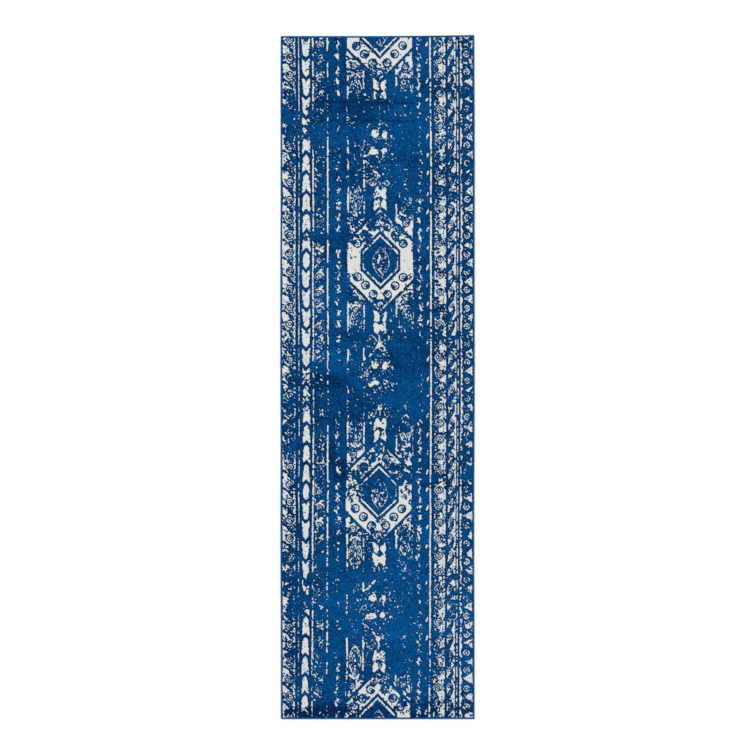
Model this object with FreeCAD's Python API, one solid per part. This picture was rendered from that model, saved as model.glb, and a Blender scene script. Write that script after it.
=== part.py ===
import FreeCAD, Part

import os

# A machine-woven cut-pile runner rug, lying flat, pile side up. Millimetres.
# +X is across the rug, +Y along it and +Z up. The origin is the middle of the underside.

# Driving dimensions
RUG_LENGTH = 2134.0
RUG_WIDTH = 605.0
RUG_THICKNESS = 8.0

# The edge: yarn wrapped over a filler cord and over the cut edge of the weave
SERGING_WIDTH = 6.4
SERGING_HEIGHT = 6.0
SERGING_ROUND = 2.4
SERGING_UNDER = 0.7
WEAVE_SETBACK = 4.3
CORD_DIAMETER = 3.0
CORD_CENTRE_IN = 2.5
CORD_CENTRE_UP = 2.6
LOCK_THREAD_WIDTH = 0.8

# The layers, from the underside up: name and thickness
LATEX_THICKNESS = 0.4
CHAIN_FLOAT = 0.3
WEFT_THICKNESS = 0.6
STUFFER_THICKNESS = 0.5
BURIED_PILE_THICKNESS = 0.5

# The blank label sewn under one corner
LABEL_LENGTH = 64.0
LABEL_WIDTH = 38.0
LABEL_THICKNESS = 0.25
LABEL_FROM_SIDE = 78.0
LABEL_FROM_END = 60.0
LABEL_GAP = 0.3
STITCH_LENGTH = 3.0
STITCH_WIDTH = 0.6
STITCH_PITCH = 6.0
STITCH_INSET = 2.5

# The two-colour design, as blocks of ivory tufts set in the blue ones
DESIGN_CENTRE_X = 7.0
DESIGN_REPEAT = 724.0
MEDALLION_HALF_WIDTH = 103.0
MEDALLION_HALF_LENGTH = 134.0
MEDALLION_SHOULDER = 47.0
MEDALLION_BAND = 13.0
INNER_HALF_WIDTH = 56.0
INNER_HALF_LENGTH = 72.0
INNER_SHOULDER = 26.0
INNER_BAND = 6.0
SPRIG_HALF_WIDTH = 34.0
SPRIG_HALF_LENGTH = 26.0
# Centre and width of each ivory guard stripe across the rug
GUARD_STRIPES = (
    (-248.0, 5.0),
    (-207.0, 7.0),
    (-160.0, 8.0),
    (-96.0, 5.0),
    (110.0, 5.0),
    (165.0, 6.5),
    (241.0, 4.0),
    (251.0, 4.0),
    (260.0, 4.0),
)

# Worked out from the dimensions above
HALF_WIDTH = RUG_WIDTH / 2
HALF_LENGTH = RUG_LENGTH / 2
Z_CHAIN_BACK = LATEX_THICKNESS
Z_WEFT_BACK = Z_CHAIN_BACK + CHAIN_FLOAT
Z_STUFFER = Z_WEFT_BACK + WEFT_THICKNESS
Z_BURIED_PILE = Z_STUFFER + STUFFER_THICKNESS
Z_WEFT_FACE = Z_BURIED_PILE + BURIED_PILE_THICKNESS
Z_CHAIN_FACE = Z_WEFT_FACE + WEFT_THICKNESS
Z_PILE = Z_CHAIN_FACE + CHAIN_FLOAT
PILE_HALF_WIDTH = HALF_WIDTH - SERGING_WIDTH
PILE_HALF_LENGTH = HALF_LENGTH - SERGING_WIDTH
WEAVE_HALF_WIDTH = HALF_WIDTH - WEAVE_SETBACK
WEAVE_HALF_LENGTH = HALF_LENGTH - WEAVE_SETBACK
LABEL_CENTRE = (HALF_WIDTH - LABEL_FROM_SIDE, -HALF_LENGTH + LABEL_FROM_END)
UP = FreeCAD.Vector(0, 0, 1)


def block(x_low, x_high, y_low, y_high, z_low, z_high):
    """A rectangular block between two corners."""
    corner = FreeCAD.Vector(x_low, y_low, z_low)
    return Part.makeBox(x_high - x_low, y_high - y_low, z_high - z_low, corner)


def layer(half_width, half_length, z_low, z_high):
    """A flat layer centred on the rug."""
    return block(-half_width, half_width, -half_length, half_length, z_low, z_high)


def prism(points, z_low, z_high):
    """A flat-sided solid standing on a closed outline of (x, y) points."""
    corners = [FreeCAD.Vector(x, y, z_low) for x, y in points]
    face = Part.Face(Part.makePolygon(corners + corners[:1]))
    return face.extrude(UP * (z_high - z_low))


def hexagon(y_centre, half_width, half_length, shoulder):
    """A hexagon of pile height on the design's centre line, pointed at both ends."""
    outline = (
        (DESIGN_CENTRE_X, y_centre + half_length),
        (DESIGN_CENTRE_X + half_width, y_centre + shoulder),
        (DESIGN_CENTRE_X + half_width, y_centre - shoulder),
        (DESIGN_CENTRE_X, y_centre - half_length),
        (DESIGN_CENTRE_X - half_width, y_centre - shoulder),
        (DESIGN_CENTRE_X - half_width, y_centre + shoulder),
    )
    return prism(outline, Z_PILE, RUG_THICKNESS)


def hexagon_ring(y_centre, half_width, half_length, shoulder, band):
    """A hexagonal frame whose sides are about band wide."""
    inner_length = half_length - band * half_length / half_width
    outer = hexagon(y_centre, half_width, half_length, shoulder)
    return outer.cut(hexagon(y_centre, half_width - band, inner_length, shoulder))


def medallion(y_centre):
    """The two hexagonal frames of one medallion."""
    outer = hexagon_ring(
        y_centre, MEDALLION_HALF_WIDTH, MEDALLION_HALF_LENGTH, MEDALLION_SHOULDER, MEDALLION_BAND
    )
    inner = hexagon_ring(
        y_centre, INNER_HALF_WIDTH, INNER_HALF_LENGTH, INNER_SHOULDER, INNER_BAND
    )
    return [outer, inner]


def group(shape):
    """The separate solids of a shape, as one compound."""
    return Part.makeCompound(shape.Solids)


def pile():
    """The ivory and the blue tufts, which fill one layer between them."""
    whole = layer(PILE_HALF_WIDTH, PILE_HALF_LENGTH, Z_PILE, RUG_THICKNESS)
    blocks = []
    for centre, width in GUARD_STRIPES:
        x_low = centre - width / 2
        stripe = block(
            x_low, x_low + width, -PILE_HALF_LENGTH, PILE_HALF_LENGTH, Z_PILE, RUG_THICKNESS
        )
        blocks.append(stripe)
    for step in (-1.5, -0.5, 0.5, 1.5):
        blocks.extend(medallion(step * DESIGN_REPEAT))
    for step in (-1, 0, 1):
        sprig = hexagon(step * DESIGN_REPEAT, SPRIG_HALF_WIDTH, SPRIG_HALF_LENGTH, 0.5)
        blocks.append(sprig)
    ivory = blocks[0].fuse(blocks[1:]).common(whole).removeSplitter()
    return group(ivory), group(whole.cut(ivory))


def chain_warps():
    """The binding warps, as their floats over the face weft and under the back weft."""
    face = layer(WEAVE_HALF_WIDTH, WEAVE_HALF_LENGTH, Z_CHAIN_FACE, Z_PILE)
    back = layer(PILE_HALF_WIDTH, PILE_HALF_LENGTH, Z_CHAIN_BACK, Z_WEFT_BACK)
    return Part.makeCompound([face, back])


def weave_layer(z_low, thickness):
    """One yarn system of the ground weave, reaching into the wrapped edge."""
    return layer(WEAVE_HALF_WIDTH, WEAVE_HALF_LENGTH, z_low, z_low + thickness)


def latex_back_coat():
    """The thin coat of latex on the back, with a window where the label is sewn on."""
    inset = SERGING_WIDTH + LOCK_THREAD_WIDTH
    coat = layer(HALF_WIDTH - inset, HALF_LENGTH - inset, 0, LATEX_THICKNESS)
    return coat.cut(label_block(LABEL_GAP, 0, LATEX_THICKNESS))


def label_block(grow, z_low, z_high):
    """A block on the label's place, grown by the same amount on its four sides."""
    x_centre, y_centre = LABEL_CENTRE
    half_length = LABEL_LENGTH / 2 + grow
    half_width = LABEL_WIDTH / 2 + grow
    return block(
        x_centre - half_length, x_centre + half_length,
        y_centre - half_width, y_centre + half_width,
        z_low, z_high,
    )


def label_stitches():
    """Two rows of stitches along the long sides of the label."""
    x_centre, y_centre = LABEL_CENTRE
    count = int((LABEL_LENGTH - 2 * STITCH_INSET) / STITCH_PITCH)
    first = x_centre - (count - 1) * STITCH_PITCH / 2
    top = LATEX_THICKNESS - LABEL_THICKNESS
    stitches = []
    for side in (-1, 1):
        y_row = y_centre + side * (LABEL_WIDTH / 2 - STITCH_INSET)
        for index in range(count):
            x_stitch = first + index * STITCH_PITCH
            stitches.append(block(
                x_stitch - STITCH_LENGTH / 2, x_stitch + STITCH_LENGTH / 2,
                y_row - STITCH_WIDTH / 2, y_row + STITCH_WIDTH / 2,
                0, top,
            ))
    return Part.makeCompound(stitches)


def bead(length):
    """The wrapped edge as a rounded bar along Y, its outer side at x = 0, body towards -X."""
    bar = block(-SERGING_WIDTH, 0, -length / 2, length / 2, 0, SERGING_HEIGHT)
    long_edges = []
    for edge in bar.Edges:
        ends = [vertex.Point for vertex in edge.Vertexes]
        if abs(ends[0].y - ends[1].y) > length / 2:
            long_edges.append(edge)
    outer_or_top = [e for e in long_edges if e.CenterOfMass.x > -0.1 or e.CenterOfMass.z > 0.1]
    return bar.makeFillet(SERGING_ROUND, outer_or_top)


def filler_cord(length):
    """The round filler cord along Y, placed as the bead is."""
    start = FreeCAD.Vector(-CORD_CENTRE_IN, -length / 2, CORD_CENTRE_UP)
    return Part.makeCylinder(CORD_DIAMETER / 2, length, start, FreeCAD.Vector(0, 1, 0))


def lock_thread(length):
    """The flat thread that locks the wraps on the back, along the bead's inner foot."""
    return block(
        -SERGING_WIDTH - LOCK_THREAD_WIDTH, -SERGING_WIDTH,
        -length / 2, length / 2, 0, LATEX_THICKNESS,
    )


def placed(shape, turn, distance):
    """A shape made along Y, moved out to +X and turned about Z to its side of the rug."""
    moved = shape.copy()
    moved.translate(FreeCAD.Vector(distance, 0, 0))
    moved.rotate(FreeCAD.Vector(0, 0, 0), UP, turn)
    return moved


def edges():
    """The wrap, the filler cord and the lock thread of each of the four edges."""
    weave = layer(WEAVE_HALF_WIDTH, WEAVE_HALF_LENGTH, SERGING_UNDER, Z_PILE)
    side_length = RUG_LENGTH
    end_length = RUG_WIDTH - 2 * SERGING_WIDTH
    places = (
        ("right_side", 0, HALF_WIDTH, side_length),
        ("left_side", 180, HALF_WIDTH, side_length),
        ("far_end", 90, HALF_LENGTH, end_length),
        ("near_end", -90, HALF_LENGTH, end_length),
    )
    nodes = {}
    for name, turn, distance, length in places:
        cord_length = length - 2 * CORD_CENTRE_IN if length == side_length else length
        cord = placed(filler_cord(cord_length), turn, distance)
        wrap = placed(bead(length), turn, distance)
        thread_length = length - 2 * SERGING_WIDTH
        if length == end_length:
            thread_length = length - 2 * LOCK_THREAD_WIDTH
        nodes[name + "_serging"] = wrap.cut(weave).cut(cord)
        nodes[name + "_cord"] = cord
        nodes[name + "_lock_thread"] = placed(lock_thread(thread_length), turn, distance)
    return nodes


def build():
    """Every node's shape by name."""
    ivory, blue = pile()
    nodes = {
        "pile_blue": blue,
        "pile_ivory": ivory,
        "chain_warps": chain_warps(),
        "weft_face_shots": weave_layer(Z_WEFT_FACE, WEFT_THICKNESS),
        "buried_pile_yarns": weave_layer(Z_BURIED_PILE, BURIED_PILE_THICKNESS),
        "stuffer_warps": weave_layer(Z_STUFFER, STUFFER_THICKNESS),
        "weft_back_shots": weave_layer(Z_WEFT_BACK, WEFT_THICKNESS),
        "latex_back_coat": latex_back_coat(),
        "back_label": label_block(0, LATEX_THICKNESS - LABEL_THICKNESS, LATEX_THICKNESS),
        "back_label_stitches": label_stitches(),
    }
    nodes.update(edges())
    return nodes


os.makedirs("parts", exist_ok=True)
for name, shape in build().items():
    shape.exportStep("parts/" + name + ".step")
    print(name, len(shape.Solids), "solids", round(shape.Volume), "mm3", shape.isValid())
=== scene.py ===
import math

import bpy
import numpy as np
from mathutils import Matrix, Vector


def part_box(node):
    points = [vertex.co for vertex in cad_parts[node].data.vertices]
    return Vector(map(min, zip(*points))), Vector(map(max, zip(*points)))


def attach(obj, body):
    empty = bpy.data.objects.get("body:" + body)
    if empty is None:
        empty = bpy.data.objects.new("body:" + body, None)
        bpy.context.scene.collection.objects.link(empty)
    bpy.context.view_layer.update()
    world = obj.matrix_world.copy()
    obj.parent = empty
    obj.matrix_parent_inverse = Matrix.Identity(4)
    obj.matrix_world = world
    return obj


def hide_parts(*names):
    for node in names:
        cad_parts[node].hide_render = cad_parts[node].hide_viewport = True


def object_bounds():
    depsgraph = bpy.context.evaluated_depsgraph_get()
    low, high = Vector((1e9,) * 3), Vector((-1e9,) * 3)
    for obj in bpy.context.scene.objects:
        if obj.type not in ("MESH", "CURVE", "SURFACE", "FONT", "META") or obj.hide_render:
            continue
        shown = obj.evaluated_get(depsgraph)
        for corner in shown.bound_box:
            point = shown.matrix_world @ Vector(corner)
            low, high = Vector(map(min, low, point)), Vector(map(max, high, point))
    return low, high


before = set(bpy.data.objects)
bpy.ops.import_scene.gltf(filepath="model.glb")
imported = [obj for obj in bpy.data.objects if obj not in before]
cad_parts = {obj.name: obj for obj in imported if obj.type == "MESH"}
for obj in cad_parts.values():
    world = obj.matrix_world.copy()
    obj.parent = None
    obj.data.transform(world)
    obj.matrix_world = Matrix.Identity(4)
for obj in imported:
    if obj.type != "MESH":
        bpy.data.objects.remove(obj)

# A machine-woven runner rug lying flat. Blender objects are in metres; the design of the
# pile is worked out in millimetres from the middle of the rug, +X across and +Y along it.

CAD_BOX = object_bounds()
MM = 0.001
SEED = 41

RUG_LOW, RUG_HIGH = CAD_BOX
HALF_WIDTH = (RUG_HIGH.x - RUG_LOW.x) / 2
HALF_LENGTH = (RUG_HIGH.y - RUG_LOW.y) / 2
PILE_LOW, PILE_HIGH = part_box("pile_blue")
LABEL_LOW, LABEL_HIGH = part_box("back_label")

# Pile
TUFT_PITCH = 2.0 * MM
TUFT_UNEVEN = 0.30 * MM
# Distance in from the pile's edge, and how far below the tips the pile is there
PILE_SHOULDER = ((-0.5, 4.9), (-0.7, 2.6), (-0.2, 1.0), (0.7, 0.3), (1.8, 0.0))

# Outline: how far the edges stray outwards, in millimetres
SIDE_STRAY = 1.5
FAR_CORNER_STRAY = 3.2

# Serging over the edges
WRAP_PITCH = 1.9 * MM
WRAP_GROOVE = 0.42 * MM
WRAP_SLANT = 2.2 * MM
WRAP_CORNERS = 14
EDGES = ("right_side", "left_side", "far_end", "near_end")

# Back
RIB_PITCH = 2.6 * MM
RIB_HEIGHT = 0.28 * MM

# Design, in millimetres
REPEAT = 722.0
HALF_REPEAT = REPEAT / 2
SPRIG_Y = 4.0
DESIGN_X = 7.0
SOFT_EDGE = 2.2
# Across the rug from the left: each band from side to side, each ivory line's middle and width
LEFT_BORDER = (-296.0, -256.5)
LEFT_LINE = (-246.0, 3.2)
CHEVRONS = (-239.5, -209.5)
CHEVRON_LINE = (-201.8, 5.0)
FLOWER_BAND = (-197.5, -166.0)
FLOWER_LINE = (-156.4, 4.7)
PANEL_LINE = (-93.8, 5.8)
LEFT_SPINE_LINE = (-43.8, 4.8)
RIGHT_SPINE_LINE = (58.0, 5.4)
RIGHT_PANEL_LINE = (109.0, 2.8)
MAIN_LINE = (164.8, 5.3)
RIGHT_FLOWERS = (176.0, 211.5)
LEAF_BORDER = (218.5, 243.5)
NARROW_LINE = (249.0, 3.6)
CHEVRON_PITCH = 61.0
# The design bows sideways: by how much at its middle, and how far it falls back at each end
BOW_MIDDLE_Y = 50.0
BOW_MIDDLE = 2.0
BOW_FAR_END = 2.2
BOW_NEAR_END = 4.8

# Colours, as linear values
BLUE_DEEP = (0.0001, 0.0110, 0.0520)
BLUE_MIDDLE = (0.0002, 0.0435, 0.1500)
BLUE_LIGHT = (0.0012, 0.0890, 0.2920)
HALF_WORN = (0.1050, 0.3050, 0.5200)
# Ivory: painted shade down in the pile and painted light on the tuft tips, mixed by fine noise
# that is also the yarn's random tone
IVORY_SHADE = (0.510, 0.507, 0.482)
IVORY_LIT_TIP = (0.675, 0.662, 0.625)
# Serging: painted shade in the grooves, the yarn's own blue between, painted highlight on the
# crests
EDGE_GROOVE_SHADE = (0.0003, 0.0260, 0.0950)
EDGE_MIDDLE = (0.0012, 0.0680, 0.2150)
EDGE_CREST_HIGHLIGHT = (0.0080, 0.1250, 0.3400)
JUTE_COLOUR = (0.420, 0.330, 0.210)
LATEX_COLOUR = (0.560, 0.530, 0.460)
LATEX_SHINE = (0.680, 0.650, 0.580)

# Plain yarns and tapes: dark tone, light tone, fibres to a metre, stretch of the fibres
YARNS = {
    "lock_yarn": ((0.003, 0.030, 0.090), (0.015, 0.080, 0.200), 1500, (1, 1, 1)),
    "label_tape": ((0.55, 0.55, 0.53), (0.74, 0.74, 0.71), 1600, (1, 3, 1)),
    "label_thread": ((0.50, 0.50, 0.48), (0.70, 0.70, 0.68), 2500, (1, 1, 1)),
    "warp_cotton": ((0.46, 0.43, 0.36), (0.62, 0.59, 0.51), 1200, (3, 0.3, 1)),
    "weft_jute": ((0.30, 0.22, 0.13), (0.48, 0.38, 0.25), 900, (0.3, 3, 1)),
    "buried_yarn": (BLUE_DEEP, BLUE_LIGHT, 1200, (3, 0.3, 1)),
    "edge_filler": ((0.34, 0.30, 0.24), (0.52, 0.48, 0.40), 1400, (1, 1, 1)),
}

# Floor, lights (name, place, size, watts) and a camera whose picture is FRAME_WIDTH across
FLOOR_HALF = 14.0
FLOOR_DROP = 0.6 * MM
WORLD_STRENGTH = 0.85
SOFTBOXES = (
    ("key", (-3.0, 2.6, 4.2), 2.6, 122),
    ("fill", (3.2, -2.4, 4.4), 3.0, 72),
)
CAMERA_LENS = 100
CAMERA_SENSOR = 36
FRAME_WIDTH = 2.3562


# ---- noise and soft shapes

def lattice_noise(x, y, size_x, size_y, seed):
    """Smooth noise from 0 to 1 whose lumps are about size_x by size_y."""
    rng = np.random.default_rng(SEED * 1000 + seed)
    u, v = (x - x.min()) / size_x, (y - y.min()) / size_y
    table = rng.random((int(u.max()) + 3, int(v.max()) + 3))
    i, j = u.astype(int), v.astype(int)
    a, b = u - i, v - j
    a, b = a * a * (3 - 2 * a), b * b * (3 - 2 * b)
    low = table[i, j] * (1 - a) + table[i + 1, j] * a
    high = table[i, j + 1] * (1 - a) + table[i + 1, j + 1] * a
    return low * (1 - b) + high * b


def unit(values):
    """The same values held between 0 and 1."""
    return np.clip(values, 0, 1)


def even_spread(values):
    """The same field with its values spread evenly from 0 to 1."""
    order = np.linspace(0, 1, 513)
    return np.interp(values, np.quantile(values, order), order)


def blurred(field, steps):
    """A square blur of a grid, steps cells to each side."""
    for axis in (0, 1):
        total = np.zeros_like(field)
        for shift in range(-steps, steps + 1):
            total += np.roll(field, shift, axis)
        field = total / (2 * steps + 1)
    return field


def within(distance, soft=SOFT_EDGE):
    """1 where distance is below zero and 0 above it, with a soft edge."""
    return unit(0.5 - distance / soft)


def stripe(across, centre, width):
    """Inside a stripe of the given width about its centre line."""
    return within(np.abs(across - centre) - width / 2)


def band(across, low, high):
    """Inside the strip from low to high."""
    return within(np.abs(across - (low + high) / 2) - (high - low) / 2)


def oval(dx, dy, radius_x, radius_y, turn=0.0):
    """Inside an oval whose long side leans by turn degrees."""
    c, s = math.cos(math.radians(turn)), math.sin(math.radians(turn))
    u, v = dx * c + dy * s, dy * c - dx * s
    return within((np.hypot(u / radius_x, v / radius_y) - 1) * min(radius_x, radius_y))


def arc(dx, dy, radius, width):
    """Inside a ring of the given middle radius and width."""
    return within(np.abs(np.hypot(dx, dy) - radius) - width / 2)


def bar(x, y, start, end, width):
    """Inside a straight bar between two points."""
    ax, ay = start
    bx, by = end
    length = math.hypot(bx - ax, by - ay)
    along = ((x - ax) * (bx - ax) + (y - ay) * (by - ay)) / length
    near = np.clip(along, 0, length)
    px = ax + (bx - ax) * near / length
    py = ay + (by - ay) * near / length
    return within(np.hypot(x - px, y - py) - width / 2)


def leaf_shape(x, y, corners):
    """Inside a convex outline whose corners go round clockwise in x, y."""
    distance = np.full_like(x, -1e9)
    for (ax, ay), (bx, by) in zip(corners, corners[1:] + corners[:1]):
        length = math.hypot(bx - ax, by - ay)
        side = ((by - ay) * (ax - x) + (bx - ax) * (y - ay)) / length
        distance = np.maximum(distance, side)
    return within(distance)


def row_of(y, start, spacing, seed, wander=1.2):
    """Distance from the nearest of a row of motifs, and three random numbers for each."""
    index = np.round((y - start) / spacing).astype(int)
    rng = np.random.default_rng(SEED * 77 + seed)
    chance = rng.uniform(-1, 1, (401, 3))[index + 200]
    return y - start - index * spacing + wander * chance[..., 0], chance


class Canvas:
    """How much ivory shows, 0 to 1, at each point of a grid over the rug."""

    def __init__(self, x, y):
        self.x, self.y = x, y
        self.sprig_y = np.mod(y - SPRIG_Y + HALF_REPEAT, REPEAT) - HALF_REPEAT
        self.medallion_y = np.mod(y - SPRIG_Y, REPEAT) - HALF_REPEAT
        self.from_sprig = np.abs(self.sprig_y)
        self.from_medallion = np.abs(self.medallion_y)
        self.speckle = even_spread(lattice_noise(x, y, 3.4, 3.8, 61))
        self.ivory = np.zeros_like(x)
        self.tough = np.zeros_like(x)

    def noise(self, size_x, size_y, seed):
        """Smooth noise from 0 to 1 over the rug."""
        return lattice_noise(self.x, self.y, size_x, size_y, seed)

    def paint(self, inside, shade=1.0, tough=None):
        """Paints a shape; tough, from 0 to 1, is how well it stands up to light wear."""
        inside = unit(inside)
        self.ivory = self.ivory + inside * (shade - self.ivory)
        if tough is not None:
            self.tough = self.tough + inside * (tough - self.tough)

    def dust(self, inside, share):
        """Fine ivory specks over a share of the area inside."""
        self.paint(inside * unit((self.speckle - 1 + share) / 0.05), 0.9)

    def dark_dust(self, inside, share):
        """Fine blue specks over a share of the area inside."""
        self.paint(inside * unit((share - self.speckle) / 0.05), 0.0)

    def ovals(self, x, y, marks, inside=1.0):
        """Ovals: middle x and y, two radii, lean in degrees, shade and toughness."""
        for mid_x, mid_y, radius_x, radius_y, turn, shade, tough in marks:
            spot = oval(x - mid_x, y - mid_y, radius_x, radius_y, turn)
            self.paint(inside * spot, shade, tough)

    def rosette(self, dx, dy, radius, chance=None, clip=1.0, halo=0.0):
        """A ringed flower: blue outline, broken ivory ring, blue ring and ivory eye."""
        reach = (np.abs(dx) ** 1.5 + np.abs(dy) ** 1.5) ** (1 / 1.5) / radius
        angle = np.arctan2(dy, dx)
        turn = 0.0 if chance is None else chance[..., 1] * 3
        self.paint(clip * within((reach - 1.0) * radius - halo), 1.0, 0.6)
        self.paint(clip * within((reach - 1.0) * radius), 0.0)
        petals = 0.03 * np.cos(6 * angle + turn)
        ring = within((np.abs(reach - 0.57 - petals) - 0.125) * radius)
        gap = within(np.cos(angle - turn) - 0.90, 0.4)
        self.paint(clip * ring * gap, 1.0, 0.9)
        self.paint(clip * within((reach - 0.20) * radius), 1.0, 0.9)

    def disc(self, dx, dy, radius, turn=0.0):
        """A dark round flower with a faint broken ring and an eye."""
        reach = np.hypot(dx, dy) / radius
        angle = np.arctan2(dy, dx)
        self.paint(within((reach - 1.0) * radius), 0.0)
        ring = within((np.abs(reach - 0.52 - 0.04 * np.cos(5 * angle)) - 0.16) * radius)
        self.paint(ring * within(np.cos(angle - turn) - 0.65, 0.6), 0.95)
        self.paint(within((reach - 0.18) * radius), 0.90)


# ---- the bands of the design

def left_border(c):
    """The outer flower border on the left: ringed flowers, ivory wedges and beads."""
    inside = band(c.x, *LEFT_BORDER)
    dy, chance = row_of(c.y, 443, 55.5, 1)
    half_dy, _ = row_of(c.y, 443 + 27.7, 55.5, 2, 0)
    dx = c.x + 273.5 + chance[..., 2]
    c.paint(inside, 1.0, 0.0)
    c.dark_dust(inside, 0.09)
    wedge = within(c.x + 280 + 0.75 * np.abs(half_dy + 4)) * within(np.abs(half_dy + 3) - 16)
    c.paint(inside * wedge, 1.0, 0.85)
    stem = within(np.abs(dx + 10 + 0.9 * (dy + 17)) - 2.4) * within(np.abs(dy + 17) - 9)
    c.paint(inside * stem, 0.0)
    c.ovals(c.x, half_dy, (
        (-271, -4, 4.6, 10.0, 24, 0.0, None),
        (-272, 10, 6.5, 4.2, 10, 0.0, None),
        (-290, 13, 7.5, 3.4, -24, 0.0, None),
    ), inside)
    c.rosette(dx, dy, 14.4, chance, inside, 2.4)
    bead_dy, _ = row_of(c.y, 443, 18.5, 3, 0)
    edge = np.abs(c.x + 264.5 - 1.6 * np.cos(2 * math.pi * bead_dy / 18.5))
    c.paint(inside * within(edge - 1.5), 0.0)
    c.paint(inside * oval(c.x + 259.6, bead_dy - 9, 1.8, 3.0), 0.0)


def left_lines(c):
    """The narrow guard line between the outer border and the chevrons."""
    c.paint(stripe(c.x, *LEFT_LINE), 1.0, 0.30)


def chevron_band(c):
    """Ivory blocks parted by blue chevrons that point at the nearest sprig."""
    rough = 3.8 * (c.noise(5, 6, 14) - 0.5)
    dx = np.abs(c.x + 223.6)
    along = c.from_sprig - 29.5 + 1.1 * (12.5 - dx) + rough
    step = np.mod(along, CHEVRON_PITCH)
    c.paint(band(c.x, *CHEVRONS), 0.0)
    length = within(-(step - 13.2)) * within(step - CHEVRON_PITCH + 0.4)
    half_wide = 11.0 - 1.4 * unit(-c.y / 250)
    sides = within(dx + rough - half_wide - 0.10 * np.clip(step - 30, -16, 16))
    c.paint(length * sides, 1.0, 1.0)
    eye = oval(c.x + 224.0, step - 36, 1.4, 2.2)
    c.paint(eye * (np.mod(np.floor(along / CHEVRON_PITCH), 2) == 0), 0.2)


def flower_band(c):
    """The blue band of capped flowers beside the chevrons, with its guard lines."""
    c.paint(stripe(c.x, *CHEVRON_LINE), 1.0, 0.72)
    dy, chance = row_of(c.from_sprig, 203, 53, 5)
    dx = c.x + 182.5 + chance[..., 2] * 2
    inside = band(c.x, *FLOWER_BAND)
    c.dust(inside, 0.16)
    cap = arc(dx, (dy + 2) * 0.9, 15.0, 5.0) * within(-(dy - 3.0))
    c.paint(inside * cap * within(-(dx + 11)), 1.0, 0.3)
    c.paint(inside * oval(dx - 7, dy - 21, 7.5, 4.6, 30), 1.0, 0.5)
    c.rosette(dx, dy, 11.5, chance)
    c.paint(inside * oval(dx + 11, dy + 20, 2.4, 5.5, -25), 0.9)
    c.paint(band(c.x, -166.5, -160.4), 0.0)
    c.paint(stripe(c.x, *FLOWER_LINE), 1.0, 0.82)
    spur, _ = row_of(c.y, 20, 57, 7, 6)
    c.paint(oval(c.x + 152, spur, 2.0, 3.6), 0.8)


def small_column(c, centre, spacing, seed, size):
    """A column of small leaves, buds and curls on the plain blue ground."""
    dy, chance = row_of(c.y, 10, spacing, seed, 5)
    dx = (c.x - centre + chance[..., 1] * 2.5) / size
    kind = chance[..., 2]
    dy = dy / size
    sway = dx - 2.6 * np.sin(dy / 3.6)
    curl = oval(sway, dy, 2.4, 12.5) * (kind < -0.1)
    leaf = oval(dx, dy, 3.4, 8.5, 14) * (kind > 0.45)
    bud = oval(dx - 2, dy - 5, 3.6, 4.0) + oval(dx + 2.5, dy + 6, 2.8, 5.0, 20)
    c.paint(unit(leaf + curl + bud * ((kind > -0.1) & (kind < 0.45))), 1.0, 0.4)
    c.dust(oval(dx, dy, 9, spacing * 0.42 / size), 0.20)


def panel_lines(c):
    """The panel's ivory edge lines and the lines either side of its spine."""
    c.paint(stripe(c.x, *PANEL_LINE), 1.0, 0.66)
    c.paint(stripe(c.x, *LEFT_SPINE_LINE) * band(c.from_sprig, 48, 236), 1.0, 0.35)
    c.paint(stripe(c.x, *RIGHT_SPINE_LINE) * band(c.from_sprig, 184, 238), 1.0, 0.6)
    c.paint(stripe(c.x, *RIGHT_PANEL_LINE) * band(c.from_sprig, 150, 262), 0.8)


def cartouches(c):
    """The long pointed flower panels on either side of the spine."""
    run = c.from_sprig
    for centre, side in ((-69.0, 1), (86.0, -1)):
        dx, t = c.x - centre, run - 166
        reach = (np.abs(dx / 19.5) ** 1.6 + np.abs(t / 45) ** 1.6) ** (1 / 1.6)
        beads = np.cos(np.arctan2(t / 45, dx / 19.5) * 14)
        c.dust(within((reach - 1) * 17), 0.10)
        c.paint(within(np.abs(reach - 0.97) * 18 - 1.3), 1.0, 0.5)
        c.paint(within(np.abs(reach - 0.70) * 18 - 1.5) * within(-beads - 0.2, 0.8), 1.0, 0.6)
        c.paint(within(np.abs(reach - 0.44) * 18 - 1.0), 0.85, 0.4)
        c.paint(within((reach - 0.16) * 18), 1.0, 0.7)
        for spread in (-26, 26):
            c.paint(oval(dx, t - spread, 2.4, 4.6), 0.9, 0.5)
        c.rosette(dx + 1, run - 206, 11.0)
        cap = arc(dx + 1, run - 206, 14.5, 5.5) * within(-(run - 208))
        c.paint(cap, 1.0, 0.3 + 0.3 * side)
        c.paint(oval(dx + 9 * side, run - 240, 3.6, 9, 30 * side), 1.0)
        c.paint(oval(dx - 8 * side, run - 232, 3, 6, -34 * side), 0.9)
        c.dust(band(dx, -19, 19) * band(run, 222, 262), 0.12)
        c.paint(oval(dx + 3, run - 113, 2.6, 6.0, 32 * side), 0.9)
        c.dust(band(dx, -20, 20) * band(run, 30, 122), 0.13)
        c.rosette(dx, run - 92, 9.0)


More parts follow.
